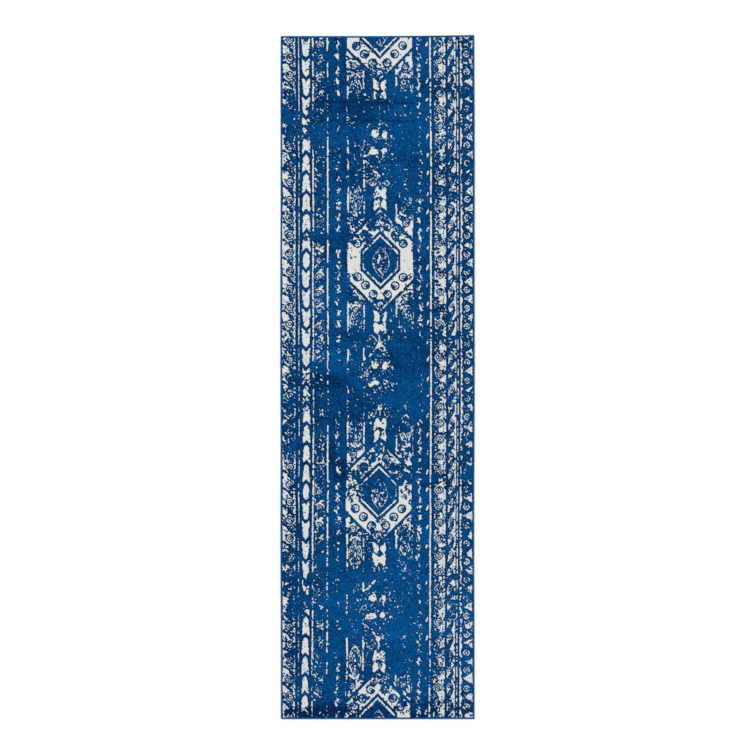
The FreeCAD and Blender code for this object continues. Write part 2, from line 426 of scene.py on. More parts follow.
def medallion(c):
    """The six-sided medallion: flowered frame, side blocks, inner line and almond."""
    dx = c.x - DESIGN_X + 4 * unit(-c.y / 350)
    ax, d = np.abs(dx), c.from_medallion
    slant = (ax + d) / math.sqrt(2)
    lower = unit(0.5 - (c.medallion_y - 32) / 20)

    def outside(side, point):
        return np.maximum(ax - side, slant - point / math.sqrt(2))

    corner = within(-(slant - 171 / math.sqrt(2))) * within(ax - 101) * within(-(ax - 50))
    c.paint(corner * within(d - 132), 0.0)
    c.dust(corner * within(d - 150), 0.30)
    c.paint(corner * within(slant - 190 / math.sqrt(2)), 1.0, 0.0)
    c.paint(corner * within(-(ax - 90)) * within(d - 120), 1.0, 0.0)
    c.rosette(ax - 81, d - 116, 13.0, clip=within(ax - 101))
    c.paint(within(outside(107, 169)), 0.0)
    c.paint(within(outside(102, 159.0)), 1.0, 0.30 + 0.65 * lower)
    rim = within(np.abs(slant - 155.5 / math.sqrt(2)) - 2.6) * within(ax - 102)
    c.tough = np.maximum(c.tough, 0.8 * rim)
    apex = within(outside(90, 151)) * within(-(d - 121 + 0.25 * ax))
    c.paint(apex, 0.0)
    c.dust(apex, 0.18)
    c.dark_dust(within(ax - 26) * within(-(d - 122)) * within(outside(104, 163)), 0.62)
    for offset, along, turn in ((72, 52.5, 0.5), (47, 78.0, 2.5), (22, 105.5, 4.0)):
        c.disc(ax - offset, d - along, 14.4, turn)
    c.disc(dx, d - 137, 11.5, 1.0)
    star = np.abs(dx) ** 0.6 + (np.abs(d - 108) * 0.8) ** 0.6
    c.paint(within(star - 5.6) * (1 - lower), 1.0, 0.8)
    seam = within(np.abs((dx - d + 97) / math.sqrt(2)) - 1.3)
    c.paint(seam * within(-(d - 97)) * within(d - 150) * within(-(dx - 2)), 0.1)
    c.paint(within(outside(62.5, 94)), 0.0)
    c.paint(within(outside(55.0, 82.0)), 1.0, 0.75)
    c.tough = c.tough * (1 - 0.75 * within(d - 20) * within(ax - 58))
    c.paint(within(outside(51.8, 74.6)), 0.0)
    v = c.medallion_y + 6
    rim = np.abs(dx - 2) / 25 + (v / 48) ** 2 - 1
    c.dust(within(rim * 17), 0.14)
    c.paint(within(np.abs(rim) * 17 - 0.9), 0.85, 0.3)
    rim = np.abs(dx - 2) / 17 + (v / 36) ** 2 - 1
    c.paint(within(np.abs(rim) * 12 - 0.5), 0.55, 0.3)
    c.paint(oval(dx + 2.5, v - 18, 3.8, 8.0, 12), 1.0, 0.7)
    c.paint(oval(dx + 5.5, v - 3, 2.6, 8.5, -14), 1.0, 0.7)
    c.paint(bar(dx, v, (-4, -8), (3, -38), 2.2), 0.75, 0.3)
    c.paint(oval(dx - 4, v - 8, 1.6, 6.0, 24), 0.6)


def spine(c):
    """The leaves on the middle line between two medallions."""
    x = c.x + 5 * (c.noise(7, 7, 15) - 0.5)
    t = c.from_sprig + 5 * (c.noise(7, 7, 16) - 0.5)
    leaves = (
        [(-14, 208), (3, 194), (6, 186), (2, 169), (-12, 174)],
        [(26, 205), (25, 179), (19, 168), (10, 176), (9, 193)],
        [(-14, 170), (6, 159), (6, 143), (-1, 128), (-9, 138), (-14, 152)],
        [(5, 159), (24, 170), (25, 136), (17, 131), (5, 145)],
    )
    for corners in leaves:
        c.paint(leaf_shape(x, t, corners), 1.0, 0.8)
    c.paint(bar(x, t, (5, 128), (5, 104), 3.4), 1.0, 0.7)
    c.paint(oval(x - 4, t - 99, 6.2, 7.5, 20), 1.0, 0.8)
    c.paint(bar(x, t, (0, 92), (-14, 78), 4.8), 1.0, 0.7)
    c.paint(bar(x, t, (-19, 70), (-40, 52), 4.4), 1.0, 0.7)
    c.paint(bar(x, t, (14, 94), (20, 88), 3.6), 0.9)
    c.paint(arc(x + 19, t - 114, 13.0, 2.6) * within(-(t - 108)), 0.9, 0.4)
    c.paint(arc(x + 19, t - 114, 6.5, 2.0), 0.7)
    c.paint(arc(x - 27, t - 119, 7.0, 2.8), 0.9, 0.4)
    c.dust(band(x, -40, 48) * band(t, 60, 126), 0.12)
    c.paint(bar(x, t, (62, 118), (76, 118), 4.0), 0.8)


def sprig(c):
    """The small flower between two spines, two lobes above and three below."""
    rough = 5 * (c.noise(8, 8, 12) - 0.5)
    lowest = unit((-c.y - 400) / 50)
    x = c.x + rough + 5 * lowest
    v = c.sprig_y + 6 * lowest + 5 * (c.noise(8, 8, 13) - 0.5)
    c.ovals(x, v, (
        (-9, 36, 11.5, 12.0, 20, 1.0, 0.8),
        (-5, 40, 3.0, 3.8, 0, 0.1, None),
        (21, 32, 9.0, 12.5, -14, 1.0, 0.8),
        (-13, -23, 15.5, 9.0, 16, 1.0, 0.8),
        (21, -19, 8.0, 9.5, 0, 1.0, 0.8),
        (46, -27, 4.4, 7.0, 20, 1.0, 0.5),
        (-40, -34, 4.6, 3.2, 30, 0.9, None),
        (44, 28, 3.6, 4.0, 0, 0.85, None),
    ))
    c.paint(arc(x + 36, v - 6, 7.0, 2.6), 0.9, 0.3)
    c.dust(oval(c.x - 4, c.sprig_y, 78, 56), 0.13)


def ovals_and_main_line(c):
    """The strongest ivory line, on the right, with its row of leaning ovals."""
    dy, _ = row_of(c.y, 346, 58, 21, 3)
    c.paint(oval(c.x - 154.5, dy, 3.0, 9.0, -20), 1.0, 0.4)
    c.paint(stripe(c.x, *MAIN_LINE), 1.0, 2.2)


def right_flower_border(c):
    """Ringed flowers on a broken ivory ground, to the right of the main line."""
    inside = band(c.x, *RIGHT_FLOWERS)
    c.paint(inside, 1.0, 0.2)
    c.dark_dust(inside, 0.10)
    c.dark_dust(inside * within(c.x - 184), 0.32)
    dy, chance = row_of(c.y, 423, 51.5, 23)
    dx = c.x - 193.0 + chance[..., 2]
    shaded = inside * unit(np.abs(c.y - 330) / 60 - 2)
    halo = shaded * oval(dx + 3, dy, 18.5, 16.5)
    c.paint(halo, 0.0)
    c.dust(halo, 0.14)
    c.ovals(dx, dy, (
        (9, -22, 10.5, 11.0, 20, 1.0, 0.9),
        (-12, -24, 8.0, 10.0, -28, 0.0, None),
        (-12, -24, 2.0, 5.5, -28, 0.8, None),
        (16, 6, 2.6, 9.0, -16, 0.0, None),
        (-5, 20.5, 6.0, 3.6, 14, 0.0, None),
    ), inside)
    c.rosette(dx, dy, 13.4, chance, inside, 2.6)
    c.paint(stripe(c.x, 204.0, 1.6) * inside * within(-(np.abs(dy) - 12)), 0.25)


def leaf_border(c):
    """Slanting leaves and small flowers on ivory."""
    inside = band(c.x, *LEAF_BORDER)
    c.paint(inside, 1.0, 0.15)
    c.dark_dust(inside, 0.03)
    dy, chance = row_of(c.y, 404, 51.5, 25)
    dx = c.x - 228.5 + chance[..., 2]
    c.ovals(dx, dy, (
        (-1, 19, 5.5, 7.0, 0, 1.0, 0.7),
        (0, 0, 6.4, 17, -24, 0.0, None),
        (-0.5, 0, 1.3, 10, -24, 0.8, None),
        (-8.5, -11, 4.6, 11, -10, 0.0, None),
        (7.5, 14, 3.6, 10, 0, 0.0, None),
    ), inside)
    middle, _ = row_of(c.y, 430, 51.5, 26)
    c.rosette(dx + 1, middle, 9.8, chance, clip=inside)


def right_lines(c):
    """The narrow ivory line and the scalloped one beside it."""
    gap, _ = row_of(c.y, 300, 54, 27, 3)
    c.paint(stripe(c.x, *NARROW_LINE) * within(-(np.abs(gap) - 4)), 1.0, 0.5)
    scallop = 260.4 + 5.0 * np.abs(np.sin(math.pi * (c.y - 12) / 27))
    inside = within(np.abs(c.x - (256.8 + scallop) / 2) - (scallop - 256.8) / 2)
    c.paint(inside, 1.0, 0.3)


def right_border(c):
    """Half flowers and ivory wedges along the right edge."""
    dy, chance = row_of(c.y, 386, 56.5, 29)
    wedge, other = row_of(c.y, 386 + 28, 56.5, 30, 3)
    rough = 5 * (c.noise(7, 7, 17) - 0.5)
    lean = np.abs(wedge) * (1.65 + 0.25 * other[..., 1]) - (c.x - 270) + rough
    lean = lean + 3.5 * other[..., 2]
    c.paint(within(lean / 2) * within(c.x - 295.5), 1.0, 0.35)
    c.paint(oval(c.x - 287, wedge - 2, 1.6, 2.2), 0.25)
    c.paint(within(np.hypot(c.x - 277, dy) - 15.5), 0.0)
    c.rosette(c.x - 278, dy, 15.0, chance)
    c.dust(band(c.x, 268, 296), 0.07)


# ---- wear

# Places worn down to the blue, band by band: (middle x, reach in x): and for each place
# (middle y, reach in y, how worn)
WORN_PATCHES = {
    (-275, 30): ((675, 40, 0.62), (75, 46, 0.55)),
    (-275, 34): ((812, 100, 0.82), (-110, 120, 0.72), (-215, 40, 0.7), (-600, 90, 0.72),
        (-780, 60, 0.5), (-870, 35, 0.75)),
    (-246, 6): ((640, 60, 0.7), (-500, 100, 0.7), (-900, 130, 0.7)),
    (-235, 60): ((766, 26, 0.85),),
    (-230, 60): ((-14, 22, 0.92), (-715, 34, 0.9)),
    (-202, 8): ((975, 60, 0.6), (780, 75, 0.9), (-10, 70, 0.95), (-660, 70, 0.9),
        (-985, 60, 0.85)),
    (-200, 100): ((-1048, 20, 0.96),),
    (-181, 15): ((990, 60, 0.35), (715, 215, 0.9), (423, 24, 0.95), (-80, 190, 0.9),
        (-300, 40, 0.7), (-640, 150, 0.92), (-850, 95, 0.82), (-1040, 50, 0.9)),
    (-156, 10): ((-690, 90, 0.95), (-825, 70, 0.72)),
    (-156, 12): ((985, 50, 0.75), (385, 45, 0.45), (90, 60, 0.3), (-375, 50, 0.55),
        (-985, 70, 1.1)),
    (-156, 20): ((820, 110, 0.75), (-60, 80, 0.8), (-600, 90, 0.8), (-1000, 40, 0.5)),
    (-150, 110): ((423, 18, 0.96),),
    (-124, 20): ((-225, 60, 0.6),),
    (-124, 22): ((-825, 70, 0.85),),
    (-124, 24): ((700, 150, 0.75), (-60, 150, 0.7), (-640, 130, 0.85)),
    (-94, 10): ((400, 130, 0.62), (-985, 60, 0.8)),
    (-94, 12): ((660, 90, 0.7), (60, 80, 0.7), (-740, 90, 0.85)),
    (-80, 30): ((-334, 44, 0.93),),
    (-76, 30): ((-1056, 20, 0.88),),
    (-72, 28): ((252, 42, 0.88),),
    (-70, 28): ((-985, 40, 0.55),),
    (-70, 32): ((640, 75, 0.6),),
    (-70, 34): ((110, 90, 0.72), (-110, 60, 0.85), (-770, 90, 0.75)),
    (-62, 52): ((-322, 50, 0.86),),
    (-60, 54): ((435, 34, 0.84),),
    (-50, 30): ((-400, 30, 0.3),),
    (-48, 190): ((800, 84, 0.96), (-46, 80, 0.96)),
    (-48, 195): ((-665, 92, 0.96),),
    (-45, 16): ((-900, 40, 0.6),),
    (-40, 40): ((860, 36, 0.8),),
    (-28, 38): ((236, 24, 0.78),),
    (-10, 60): ((482, 32, 0.62),),
    (0, 40): ((-350, 50, 0.45),),
    (7, 84): ((-285, 56, 0.7),),
    (7, 96): ((1000, 60, 0.28),),
    (20, 90): ((-1000, 60, 0.35),),
    (60, 66): ((-320, 34, 0.85),),
    (66, 50): ((440, 36, 0.42),),
    (80, 56): ((-745, 210, 0.96),),
    (82, 60): ((715, 225, 0.98),),
    (84, 62): ((10, 205, 0.98),),
    (86, 26): ((-1000, 40, 0.55),),
    (86, 28): ((-240, 44, 0.6),),
    (86, 30): ((-520, 50, 0.6),),
    (92, 26): ((-330, 46, 0.95), (-400, 26, 0.5)),
    (96, 22): ((-372, 34, 0.85),),
    (98, 20): ((-1056, 16, 0.75),),
    (130, 20): ((-330, 30, 0.8), (-650, 110, 0.7)),
    (165, 9): ((938, 8, 1.7), (530, 12, 1.6), (-340, 14, 1.7), (-930, 40, 1.0)),
    (190, 40): ((905, 30, 0.8), (825, 60, 0.45), (675, 50, 0.62), (130, 40, 0.5),
        (-825, 60, 0.7), (-1000, 40, 0.45)),
    (190, 44): ((-330, 22, 0.95),),
    (190, 50): ((-870, 34, 0.85),),
    (190, 60): ((579, 22, 0.85),),
    (200, 40): ((190, 26, 0.75),),
    (200, 60): ((-60, 30, 0.55),),
    (200, 120): ((-1048, 16, 0.6),),
    (225, 26): ((900, 60, 0.35),),
    (230, 60): ((120, 20, 0.6), (-640, 22, 0.5), (-888, 26, 0.7)),
    (280, 24): ((890, 60, 0.6), (640, 40, 0.6), (120, 50, 0.55), (-225, 60, 0.6),
        (-280, 70, 0.75), (-640, 60, 0.55)),
}
# Ivory that outlasts the wear round it: middle x and y, reach in x and y, how worn
KEPT_PATCHES = (
    (2, 748, 44, 58, 0.16), (6, 14, 60, 60, 0.16), (4, -712, 66, 78, 0.08),
    (2, 560, 34, 60, 0.05), (4, 172, 30, 62, 0.0), (2, -172, 32, 62, 0.5),
    (2, -545, 34, 54, 0.1), (2, -890, 34, 60, 0.05), (4, 900, 30, 40, 0.8),
    (-76, 362, 24, 46, 0.0), (92, 362, 24, 40, 0.06), (10, 285, 90, 55, 0.04),
    (10, -420, 96, 52, 0.05), (10, 1040, 96, 60, 0.06),
)
# Darker places in the blue: middle x and y, reach in x and y, how dark
DARK_PATCHES = (
    (-146, -235, 18, 40, 0.2), (-118, -290, 22, 46, 0.24), (215, -335, 84, 15, 0.26),
    (-180, -14, 90, 24, 0.14), (-60, 858, 150, 30, 0.08), (-170, -1048, 120, 26, 0.28),
)
BORDER_WEAR = 0.27
FIELD_WEAR = 0.34


def hold_of(x, y, x_mid, y_mid, reach_x, reach_y):
    """How strongly a patch holds at x, y: 1 inside it, fading to 0 outside."""
    reach = np.hypot((x - x_mid) / reach_x, (y - y_mid) / reach_y)
    hold = unit((1.20 - reach) / 0.40)
    return hold * hold * (3 - 2 * hold)


def wear_map(x, y, tough):
    """How worn the ivory is, 0 to 1."""
    wander_x = x + 14 * (lattice_noise(x, y, 60, 60, 31) - 0.5)
    wander_y = y + 50 * (lattice_noise(x, y, 45, 80, 32) - 0.5)
    deep = np.zeros_like(x)
    for (x_mid, reach_x), places in WORN_PATCHES.items():
        for y_mid, reach_y, worn in places:
            hold = hold_of(wander_x, wander_y, x_mid, y_mid, reach_x, reach_y)
            deep = np.maximum(deep, worn * hold)
    for *patch, worn in KEPT_PATCHES:
        hold = hold_of(wander_x, wander_y, *patch)
        deep = deep * (1 - hold) + np.minimum(deep, worn) * hold
    light = np.where(np.abs(x) > 170, BORDER_WEAR, FIELD_WEAR)
    light = light + 0.36 * (lattice_noise(x, y, 45, 60, 39) - 0.5)
    light = light * unit(1 - 0.92 * tough)
    return np.maximum(light, deep * (1 - 0.24 * tough))


def wear_away(c):
    """Loses ivory where the design is worn, in flecks and larger flakes."""
    fleck = even_spread(c.noise(3.8, 4.2, 33))
    flake = even_spread(c.noise(12, 15, 34))
    patch = c.noise(50, 60, 35)
    kept = even_spread(0.47 * fleck + 0.38 * flake + 0.15 * patch)
    worn = wear_map(c.x, c.y, c.tough)
    c.ivory = c.ivory * unit(0.5 + (kept - worn * 0.98) / 0.07)


def stray_flecks(c):
    """Small ivory flecks left on the blue, thicker near the worn motifs."""
    cluster = c.noise(34, 42, 37)
    field = band(c.x, -205, 205) * (1 - 0.85 * band(c.x, -152, -138))
    field = field * (1 - 0.85 * band(c.x, 139, 154)) * (1 - 0.8 * band(c.x, -111, -99))
    grain = even_spread(c.noise(4.0, 4.6, 36))
    share = 0.004 + 0.090 * unit(cluster - 0.42) * field
    c.paint(unit((grain - (1 - share)) / 0.012), 0.85)


def half_worn_tufts(c):
    """Single tufts that are partly worn: pale ones near ivory, bluish ones in it."""
    rng = np.random.default_rng(SEED + 44)
    near = unit(blurred(c.ivory, 6) * 2.6)
    pale = rng.random(c.x.shape) < 0.006 + 0.06 * near
    c.ivory = np.maximum(c.ivory, pale * rng.uniform(0.22, 0.62, c.x.shape))
    bluish = rng.random(c.x.shape) < np.where(np.abs(c.x) > 165, 0.22, 0.10)
    c.ivory = c.ivory * (1 - bluish * rng.uniform(0.15, 0.60, c.x.shape))


def dark_specks(c):
    """Blue tufts that show through the ivory grounds."""
    grain = even_spread(c.noise(3.6, 4.0, 38))
    c.paint(unit((grain - 0.93) / 0.03) * (np.abs(c.x) > 165), 0.30)


def ragged(c):
    """Roughens every outline by about a tuft."""
    grain = c.noise(2.9, 2.9, 43)
    c.ivory = unit(0.5 + (c.ivory - 0.5 + 0.62 * (grain - 0.5)) / 0.80)


def design(x, y):
    """Ivory amount and blue depth for tufts at x, y in millimetres."""
    wave_x = 2.4 * (lattice_noise(x, y, 40, 90, 41) - 0.5)
    wave_y = 3.0 * (lattice_noise(x, y, 60, 60, 42) - 0.5)
    fall = np.where(y > BOW_MIDDLE_Y, BOW_FAR_END, BOW_NEAR_END)
    bow = BOW_MIDDLE - fall * ((y - BOW_MIDDLE_Y) / 1000) ** 2
    bow = bow * unit((300 - np.abs(x)) / 60)
    c = Canvas(x + wave_x - bow, y + wave_y)
    left_border(c)
    left_lines(c)
    chevron_band(c)
    flower_band(c)
    small_column(c, -124, 38, 8, 1.15)
    cartouches(c)
    panel_lines(c)
    spine(c)
    sprig(c)
    medallion(c)
    small_column(c, 130, 30, 9, 1.12)
    ovals_and_main_line(c)
    right_flower_border(c)
    leaf_border(c)
    right_lines(c)
    right_border(c)
    wear_away(c)
    dark_specks(c)
    stray_flecks(c)
    ragged(c)
    half_worn_tufts(c)
    return unit(c.ivory), blue_depth(x, y, c.ivory)


def blue_depth(x, y, ivory):
    """How light the blue is, 0 to 1: dye batches, a fine tuft grain that is partly painted shade,
    crosswise lines of painted crease shade and darker outlines.
    """
    tone_and_shade = 0.50
    # Uneven dye in the large lumps; the finest lumps and the random step from tuft to tuft are
    # partly tuft colour, partly painted shade between tufts
    for amount, size_x, size_y, seed in ((0.26, 120, 70, 51), (0.18, 28, 20, 52),
                                         (0.34, 3.2, 3.2, 53)):
        tone_and_shade = tone_and_shade + amount * (lattice_noise(x, y, size_x, size_y, seed) - 0.5)
    tone_and_shade = tone_and_shade + 0.80 * (np.random.default_rng(SEED + 54).random(x.shape) - 0.5)
    tone_and_shade = tone_and_shade + 0.13 * np.exp(-((y + 760) / 170) ** 2) * unit((x + 20) / 90)
    tone_and_shade = tone_and_shade - 0.05 * unit((y - 750) / 80) - 0.06 * unit((-x - 200) / 60)
    tone_and_shade = tone_and_shade - 0.22 * unit((-y - 985) / 60)
    for *patch, dark in DARK_PATCHES:
        tone_and_shade = tone_and_shade - dark * hold_of(x, y, *patch)
    # Two narrow crosswise lines of painted crease shade from folding; the mesh is not creased
    # there
    for crease_shade_y in (858, 802):
        near = np.exp(-((y - crease_shade_y + 2 * np.sin(x / 60)) / 3.2) ** 2)
        tone_and_shade = tone_and_shade - 0.30 * near * band(x, -205, 118)
    outline = unit(blurred(ivory, 2) * 2.6)
    border = np.where(np.abs(x) > 170, 0.56, 0.34)
    return unit(tone_and_shade + 0.04 - border * outline)


# ---- the pieces

def stray(x, y):
    """Moves points of the rug, in metres, to its slightly uneven outline."""
    along = y / HALF_LENGTH
    left = -SIDE_STRAY * (0.45 + 0.55 * np.sin(2.3 * along + 1.2) + 0.25 * np.sin(9.1 * along))
    left = np.minimum(left + 0.5, 0.6)
    right = SIDE_STRAY * (0.35 + 0.45 * np.sin(3.6 * along + 0.4) + 0.25 * np.sin(8.3 * along + 2))
    right = np.maximum(right, -0.55)
    share = (x + HALF_WIDTH) / (2 * HALF_WIDTH)
    across = (left * (1 - share) + right * share) * MM
    lift = unit((x / HALF_WIDTH + 0.15) / 1.15) ** 2 * FAR_CORNER_STRAY
    far = unit(along) ** 5 * (lift - 0.5)
    return x + across, y + far * MM


def piece(name, points, faces, material, smooth=True):
    """A mesh object from arrays of points and four-cornered faces."""
    mesh = bpy.data.meshes.new(name)
    mesh.vertices.add(len(points))
    mesh.vertices.foreach_set("co", np.ascontiguousarray(points, dtype=np.float32).ravel())
    mesh.loops.add(faces.size)
    mesh.loops.foreach_set("vertex_index", faces.astype(np.int32).ravel())
    mesh.polygons.add(len(faces))
    mesh.polygons.foreach_set("loop_start", np.arange(0, faces.size, 4, dtype=np.int32))
    mesh.update(calc_edges=True)
    mesh.validate()
    mesh.polygons.foreach_set("use_smooth", np.full(len(mesh.polygons), smooth))
    mesh.materials.append(material)
    made = bpy.data.objects.new(name, mesh)
    bpy.context.scene.collection.objects.link(made)
    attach(made, "root")
    return made


def grid_faces(rows, columns, wrap=False):
    """Faces of a grid whose point number is row * columns + column."""
    row = np.arange(rows - 1)[:, None]
    column = np.arange(columns if wrap else columns - 1)[None, :]
    beside = (column + 1) % columns
    corners = (row * columns + column, row * columns + beside,
               (row + 1) * columns + beside, (row + 1) * columns + column)
    shape = np.broadcast(row, column).shape
    return np.stack([np.broadcast_to(k, shape) for k in corners], -1).reshape(-1, 4)


def cap_faces(start, count):
    """Four-cornered faces across a ring of an even number of points."""
    pairs = [(start + k, start + k + 1, start + count - k - 2, start + count - k - 1)
             for k in range(count // 2 - 1)]
    return np.array(pairs)


def tube_faces(rings, sides):
    """Faces of a tube whose point number is ring * sides + side, shut at both ends."""
    return np.concatenate([grid_faces(rings, sides, wrap=True), cap_faces(0, sides)[:, ::-1],
                           cap_faces((rings - 1) * sides, sides)])


def carry(made, name, values):
    """Gives each point of a piece a value, which its material reads."""
    layer = made.data.attributes.new(name, "FLOAT", "POINT")
    layer.data.foreach_set("value", values.astype(np.float32).ravel())


def edge_steps(low, high):
    """Places from one pile edge to the other, and the drop below the tips at each."""
    inset = np.array([place for place, _ in PILE_SHOULDER]) * MM
    drop = np.array([fall for _, fall in PILE_SHOULDER]) * MM
    first, last = low + inset[-1], high - inset[-1]
    middle = np.linspace(first, last, int(round((last - first) / TUFT_PITCH)) + 1)
    places = np.concatenate([low + inset[:-1], middle, (high - inset[:-1])[::-1]])
    drops = np.concatenate([drop[:-1], np.zeros(len(middle)), drop[:-1][::-1]])
    return places, drops


def make_pile(material):
    """The whole cut pile as one sheet of tuft tips that turns down at its edges."""
    xs, drop_x = edge_steps(PILE_LOW.x, PILE_HIGH.x)
    ys, drop_y = edge_steps(PILE_LOW.y, PILE_HIGH.y)
    x, y = np.meshgrid(xs, ys, indexing="ij")
    ivory, tone = design(x / MM, y / MM)
    drop = np.maximum(drop_x[:, None], drop_y[None, :])
    rng = np.random.default_rng(SEED)
    uneven = rng.uniform(-1, 1, x.shape) * TUFT_UNEVEN * (drop < 2 * MM)
    wave = 0.5 * MM * (lattice_noise(x / MM, y / MM, 90, 120, 71) - 0.5)
    z = PILE_HIGH.z - 0.35 * MM - drop + np.where(drop < 2 * MM, uneven + wave, 0)
    z = np.minimum(z - 0.10 * MM * (1 - ivory), PILE_HIGH.z)
    shaken = rng.uniform(-0.45, 0.45, (2,) + x.shape) * MM * (drop == 0)
    x, y = stray(x + shaken[0], y + shaken[1])
    points = np.stack([x, y, z], -1).reshape(-1, 3)
    faces = grid_faces(len(xs), len(ys))[:, ::-1]
    pile = piece("cut_pile", points, faces, material)
    carry(pile, "ivory", ivory)
    carry(pile, "tone", tone)
    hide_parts("pile_blue", "pile_ivory")
    return pile


def bead_profile():
    """The serging's rounded cross-section, as unit across and up, going round once."""
    turn = np.arange(WRAP_CORNERS) / WRAP_CORNERS * 2 * math.pi
    c, s = np.cos(turn), np.sin(turn)
    power = 2 / 2.7
    return np.sign(c) * np.abs(c) ** power, np.sign(s) * np.abs(s) ** power, turn


def make_serging(node, material):
    """Yarn wound round the edge: one slanting ridge for each turn of the yarn."""
    low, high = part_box(node + "_serging")
    length_axis = 1 if "side" in node else 0
    cross_axis = 1 - length_axis
    length = high[length_axis] - low[length_axis]
    turns = int(round(length / WRAP_PITCH))
    rings = turns * 3 + 1
    along = np.linspace(0, 1, rings)[:, None]
    across, up, angle = bead_profile()
    half_across = (high[cross_axis] - low[cross_axis]) / 2
    half_up = (high.z - low.z) / 2
    slant = WRAP_SLANT / length * np.sin(angle)[None, :] * 0.5
    phase = (along + slant) * turns * 2 * math.pi
    rng = np.random.default_rng(SEED + len(node))
    loose = rng.uniform(-0.05, 0.05, (turns + 1,))[np.minimum(np.arange(rings) // 3, turns)]
    groove = WRAP_GROOVE * (0.5 - 0.5 * np.cos(phase)) + loose[:, None] * MM
    from_end = np.minimum(along, 1 - along) * length
    end_round = np.minimum(1, 0.55 + 0.45 * np.sqrt(from_end / (2.0 * MM)))
    if length_axis == 0:
        end_round = np.ones_like(end_round)
    wide = (half_across - groove) * across[None, :] * end_round
    tall = (half_up - groove) * up[None, :] * end_round
    points = np.zeros((rings, WRAP_CORNERS, 3))
    points[..., length_axis] = low[length_axis] + along * length
    points[..., cross_axis] = (low[cross_axis] + high[cross_axis]) / 2 + wide
    points[..., 2] = (low.z + high.z) / 2 + tall
    points[..., 0], points[..., 1] = stray(points[..., 0], points[..., 1])
    points[..., 2] = np.maximum(points[..., 2], low.z)
    faces = tube_faces(rings, WRAP_CORNERS)
    if length_axis == 1:
        faces = faces[:, ::-1]
    made = piece(node + "_wrap", points.reshape(-1, 3), faces, material)
    # Painted highlight on each turn's crest and painted shade in its groove, with a little random
    # tone for each turn
    carry(made, "wrap", unit(0.5 + 0.5 * np.cos(phase) + loose[:, None] * 8))
    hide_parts(node + "_serging")
    return made


def make_back(material):
    """The ribbed, latex-coated back, with a flat bed for the label."""
    half_x = HALF_WIDTH - 5.0 * MM
    half_y = HALF_LENGTH - 5.0 * MM
    xs = np.linspace(-half_x, half_x, 61)
    ys = np.linspace(-half_y, half_y, int(round(2 * half_y / RIB_PITCH)) * 4 + 1)
    x, y = np.meshgrid(xs, ys, indexing="ij")
    rib = 0.5 + 0.5 * np.cos(2 * math.pi * y / RIB_PITCH)
    uneven = lattice_noise(x / MM, y / MM, 22, 6, 81)
    z = 0.10 * MM + RIB_HEIGHT * (1 - rib) * (0.75 + 0.25 * uneven)
    rim = 0.5 * MM
    bed = ((x > LABEL_LOW.x - rim) & (x < LABEL_HIGH.x + rim)
           & (y > LABEL_LOW.y - rim) & (y < LABEL_HIGH.y + rim))
    z = np.where(bed, 0.60 * MM, z)
    shut = np.minimum(half_x - np.abs(x), half_y - np.abs(y)) < 0.1 * MM
    z = np.where(shut, 0.9 * MM, z)
    points = np.stack([x, y, z], -1).reshape(-1, 3)
    back = piece("woven_back", points, grid_faces(*x.shape), material)
    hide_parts("latex_back_coat", "chain_warps", "weft_back_shots")
    return back


def make_label(tape, thread):
    """A blank tape label with turned-in ends, stitched to the back."""
    xs = np.linspace(LABEL_LOW.x, LABEL_HIGH.x, 33)
    ys = np.linspace(LABEL_LOW.y, LABEL_HIGH.y, 25)
    x, y = np.meshgrid(xs, ys, indexing="ij")
    edge = np.minimum(x - LABEL_LOW.x, LABEL_HIGH.x - x)
    fold = 0.05 * MM * (edge < 5 * MM)
    bow = 0.04 * MM * np.sin((x - LABEL_LOW.x) / 9e-3) * np.sin((y - LABEL_LOW.y) / 7e-3)
    outer = LABEL_LOW.z + 0.06 * MM - fold + bow
    outer = np.where(np.minimum(edge, np.minimum(y - LABEL_LOW.y, LABEL_HIGH.y - y)) < 1e-6,
                     LABEL_HIGH.z, outer)
    points = np.stack([x, y, outer], -1).reshape(-1, 3)
    label = piece("blank_label", points, grid_faces(*x.shape), tape)
    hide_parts("back_label")
    low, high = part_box("back_label_stitches")
    stitches = stitch_rows(
        [((low.x, y_row), (high.x, y_row)) for y_row in (low.y + 0.3 * MM, high.y - 0.3 * MM)],
        low.z + 0.09 * MM, 3.0 * MM, 6.0 * MM, 0.30 * MM, 0.10 * MM, "label_stitching",
        thread)
    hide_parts("back_label_stitches")
    return label, stitches


def stitch_rows(rows, z, stitch, pitch, half_wide, half_tall, name, material):
    """Rows of short rounded stitches, each row from one point to another."""
    rings, sides = 5, 6
    ends = np.array([0.0, 0.18, 0.5, 0.82, 1.0])
    swell = np.array([0.35, 0.85, 1.0, 0.85, 0.35])
    turn = np.arange(sides) / sides * 2 * math.pi
    points, faces = [], []
    count = 0
    pattern = tube_faces(rings, sides)
    for (ax, ay), (bx, by) in rows:
        length = math.hypot(bx - ax, by - ay)
        ux, uy = (bx - ax) / length, (by - ay) / length
        for k in range(int((length - stitch) / pitch) + 1):
            s = k * pitch + ends[:, None] * stitch
            out = half_wide * swell[:, None] * np.cos(turn)[None, :]
            up = half_tall * swell[:, None] * np.sin(turn)[None, :]
            px, py = ax + ux * s - uy * out, ay + uy * s + ux * out
            px, py = stray(px, py)
            points.append(np.stack([px, py, z + up], -1).reshape(-1, 3))
            faces.append(pattern + count)
            count += rings * sides
    return piece(name, np.concatenate(points), np.concatenate(faces), material)


def make_lock_thread(node, material):
    """The row of small stitches that locks the serging on, along its inner edge."""
    low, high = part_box(node + "_lock_thread")
    if "side" in node:
        middle = (low.x + high.x) / 2
        row = ((middle, low.y), (middle, high.y))
    else:
        middle = (low.y + high.y) / 2
        row = ((low.x, middle), (high.x, middle))
    z = (low.z + high.z) / 2
    made = stitch_rows([row], z, 3.2 * MM, 4.0 * MM, 0.40 * MM, (high.z - low.z) / 2,
                       node + "_lock_stitches", material)
    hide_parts(node + "_lock_thread")
    return made


# ---- materials

